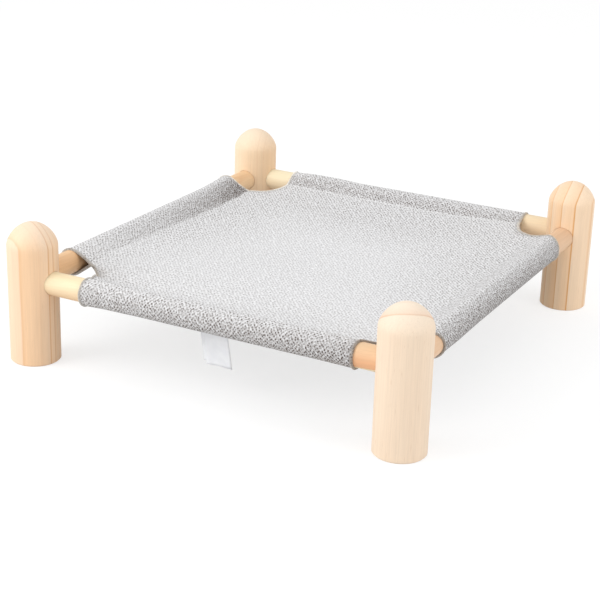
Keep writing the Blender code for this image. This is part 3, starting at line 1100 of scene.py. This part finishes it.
# Light and dark thread of each notch: one thread, given darker tones at every notch but the back left one as
# painted shade
overlockLitAndShadedTones = {
    "front_left": ((0.62, 0.59, 0.55), (0.28, 0.24, 0.2)),
    "front_right": ((0.5, 0.45, 0.4), (0.24, 0.19, 0.15)),
    "back_left": ((0.97, 0.94, 0.88), (0.36, 0.31, 0.26)),
    "back_right": ((0.7, 0.66, 0.6), (0.42, 0.37, 0.32)),
}


def overlockPath(chain):
    shape = overlockShape
    points = [point for point, _, _ in chain]
    lengths = np.concatenate([[0], np.cumsum([(b - a).length for a, b in zip(points, points[1:])])])
    count = int(lengths[-1] / shape["pitch"] * shape["loopPoints"])
    wiggle = random.Random(shape["seed"])
    path = []
    for step in range(count + 1):
        at = lengths[-1] * step / count
        k = min(int(np.searchsorted(lengths, at, side="right")) - 1, len(points) - 2)
        share = (at - lengths[k]) / (lengths[k + 1] - lengths[k])
        centre = points[k].lerp(points[k + 1], share)
        normal = chain[k][1].lerp(chain[k + 1][1], share).normalized()
        along = (points[k + 1] - points[k]).normalized()
        normal = (normal - along * normal.dot(along)).normalized()
        inwards = normal.cross(along)
        if inwards.dot(chain[k][2] + chain[k + 1][2]) < 0:
            inwards = -inwards
        angle = math.tau * step / shape["loopPoints"]
        loose = 1 + wiggle.uniform(-shape["looseness"], shape["looseness"])
        across = shape["inset"] + shape["reach"] * math.cos(angle) * loose
        path.append(centre + inwards * across + normal * (shape["rise"] * math.sin(angle) * loose))
    return path


def threadPiece(name, paths, radius, material, node):
    curve = bpy.data.curves.new(name, "CURVE")
    curve.dimensions = "3D"
    curve.bevel_depth = radius
    curve.bevel_resolution = 0
    curve.use_fill_caps = True
    for path in paths:
        spline = curve.splines.new("POLY")
        spline.points.add(len(path) - 1)
        for slotPoint, point in zip(spline.points, path):
            slotPoint.co = (*point, 1.0)
    mesh = appliedMesh(addObject(name, curve))
    mesh.shade_smooth()
    return addPiece(name, mesh, material, "grey_thread", node)


# Lockstitches through both layers of each hem, seen from above and from below

stitchShape = {
    "length": 0.003,
    "thread": 0.00022,
    "inside": 0.0018,
    "endGap": 0.003,
    "points": (0.03, 0.25, 0.5, 0.75, 0.97),
    "arch": 0.8,
    "sink": 0.2,
    "tones": ((0.86, 0.86, 0.85), (0.7, 0.69, 0.68)),
}


def addStitches(sling):
    shape = stitchShape
    material = fibreMaterial("hemThread", threadLook, *shape["tones"])
    tree = BVHTree.FromObject(sling, bpy.context.evaluated_depsgraph_get())
    above = 2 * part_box("post_front_left")[1].z
    made = []
    for side in sides:
        crease = sleeveShape[side]["crease"]
        first, last = min(crease), max(crease)
        count = int((last - first - 2 * shape["endGap"]) / shape["length"])
        paths = []
        for fromZ, down in ((above, -1), (0.0, 1)):
            for step in range(count):
                start = first + shape["endGap"] + step * shape["length"]
                path = []
                for share in shape["points"]:
                    along = start + share * shape["length"]
                    spot = acrossRail(side, along, creaseOf(side, along) + shape["inside"], 0)
                    hit = tree.ray_cast(Vector((spot.x, spot.y, fromZ)), Vector((0, 0, down)))[0]
                    if hit is None:
                        break
                    lift = shape["thread"] * (shape["arch"] * math.sin(math.pi * share) - shape["sink"])
                    path.append(hit - Vector((0, 0, down * lift)))
                if len(path) == len(shape["points"]):
                    paths.append(path)
        name, node = f"hem_stitches_{side}", f"seam_{side}"
        made.append(threadPiece(name, paths, shape["thread"], material, node))
    return made


# Care label: two blank satin leaves sewn under the front hem

labelShape = {
    "width": 0.027,
    "length": 0.057,
    "thickness": 0.00025,
    "placeX": -0.0118,
    "drift": 0.0105,
    "curl": -0.002,
    "bow": 0.0012,
    "bowRun": 1.1,
    "twist": 0.003,
    "cornerFrom": 0.6,
    "cornerDrop": 0.0175,
    "steps": (10, 22),
    "leafShift": 0.0035,
    "leafShorter": 0.003,
    "leafGap": 0.0009,
}


def addLabelLeaf(name, shift, behind, length, material, node):
    shape = labelShape
    low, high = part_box("care_label")
    bm = bmesh.new()
    bmesh.ops.create_grid(bm, x_segments=shape["steps"][0], y_segments=shape["steps"][1], size=0.5)
    flat = bm.loops.layers.uv.new("flatLabel")
    for face in bm.faces:
        for loop in face.loops:
            loop[flat].uv = (loop.vert.co.x * shape["width"], loop.vert.co.y * length)
    for vert in bm.verts:
        across, down = vert.co.x, 0.5 - vert.co.y
        bowed = math.sin(math.pi * min(down * shape["bowRun"], 1.0))
        bow = shape["bow"] * (4 * across * across - 1) * bowed
        corner = shape["cornerDrop"] * max(0.0, across) * max(0.0, down - shape["cornerFrom"]) ** 2
        vert.co = (
            shape["placeX"] - shift + across * shape["width"] + shape["drift"] * down,
            low.y + behind + (shape["curl"] + shape["twist"] * across) * down * down - bow,
            high.z - length * down - corner,
        )
    mesh = thickenedMesh(addObject(name, finishMesh(bm, name)), shape["thickness"])
    leaf = addPiece(name, mesh, material, "white_satin", node)


sling, notchChains, flatSize, flatArea = addSling()
flatRounded = [round(size, 4) for size in flatSize]
print("sling cut, folded and sewn: flat", flatRounded, "area", round(flatArea, 5))
for corner, chain in notchChains.items():
    thread = fibreMaterial(f"overlockThread_{corner}", threadLook, *overlockLitAndShadedTones[corner])
    name, node = f"overlock_edge_{corner}", f"overlock_{corner}"
    threadPiece(name, [overlockPath(chain)], overlockShape["thread"], thread, node)
stitches = addStitches(sling)
satin = fibreMaterial("whiteSatin", satinLook, *satinTones, flatMap="flatLabel")
addLabelLeaf("satin_label", 0, 0, labelShape["length"], satin, "care_label")
shift, gap = labelShape["leafShift"], labelShape["leafGap"]
length = labelShape["length"] - labelShape["leafShorter"]
addLabelLeaf("satin_label_back", shift, gap, length, satin, "care_label_back_leaf")
print("threads and label sewn")


# Studio: a white floor with soft shadows, and large soft lamps

studio = {
    "worldLight": 0.8,
    "floorSize": 12.0,
    "floorShades": (0.8, 0.38),  # for bounced light and in view
    "floorGlow": 0.67,
}
lamps = {
    "keyLeft": {"at": (-1.15, -1.25, 0.95), "size": 1.3, "power": 16.5},
    "fillRight": {"at": (2.0, -0.3, 1.4), "size": 1.4, "power": 11.0},
}


def addStudio():
    bm = bmesh.new()
    bmesh.ops.create_grid(bm, x_segments=1, y_segments=1, size=studio["floorSize"])
    mesh = bpy.data.meshes.new("floor")
    bm.to_mesh(mesh)
    bm.free()
    floor = addObject("floor", mesh)
    material, tree, shader = newMaterial("studioFloor")
    seen = addNode(tree, "LightPath").outputs
    direct = maths(tree, "MAXIMUM", seen["Is Camera Ray"], seen["Is Glossy Ray"])
    shade = ramp(tree, direct, 0, 1, *studio["floorShades"], smooth=False)
    shown = {
        "Base Color": shade,
        "Emission Color": (1, 1, 1, 1),
        "Emission Strength": times(tree, direct, studio["floorGlow"]),
        "Roughness": 1.0,
        "Specular IOR Level": 0.0,
    }
    setInputs(tree, shader, shown)
    mesh.materials.append(material)
    world = bpy.data.worlds.new("studioWorld")
    bpy.context.scene.world = world
    world.use_nodes = True
    tree = world.node_tree
    tree.nodes.clear()
    seen = addNode(tree, "LightPath").outputs
    direct = maths(tree, "MAXIMUM", seen["Is Camera Ray"], seen["Is Transmission Ray"])
    direct = maths(tree, "MAXIMUM", direct, seen["Is Glossy Ray"])
    strength = ramp(tree, direct, 0, 1, studio["worldLight"], 1.0, smooth=False)
    background = addNode(tree, "Background", {"Color": (1, 1, 1, 1), "Strength": strength})
    addNode(tree, "OutputWorld", {"Surface": background.outputs[0]})
    for name, values in lamps.items():
        data = bpy.data.lights.new(name, "AREA")
        data.shape = "DISK"
        data.size = values["size"]
        data.energy = values["power"]
        lamp = addObject(name, data)
        lamp.location = values["at"]
        lamp.rotation_euler = (-Vector(values["at"])).to_track_quat("-Z", "Y").to_euler()


addStudio()
bpy.context.scene.view_settings.view_transform = "Standard"
bpy.context.view_layer.update()

print("scene ready")
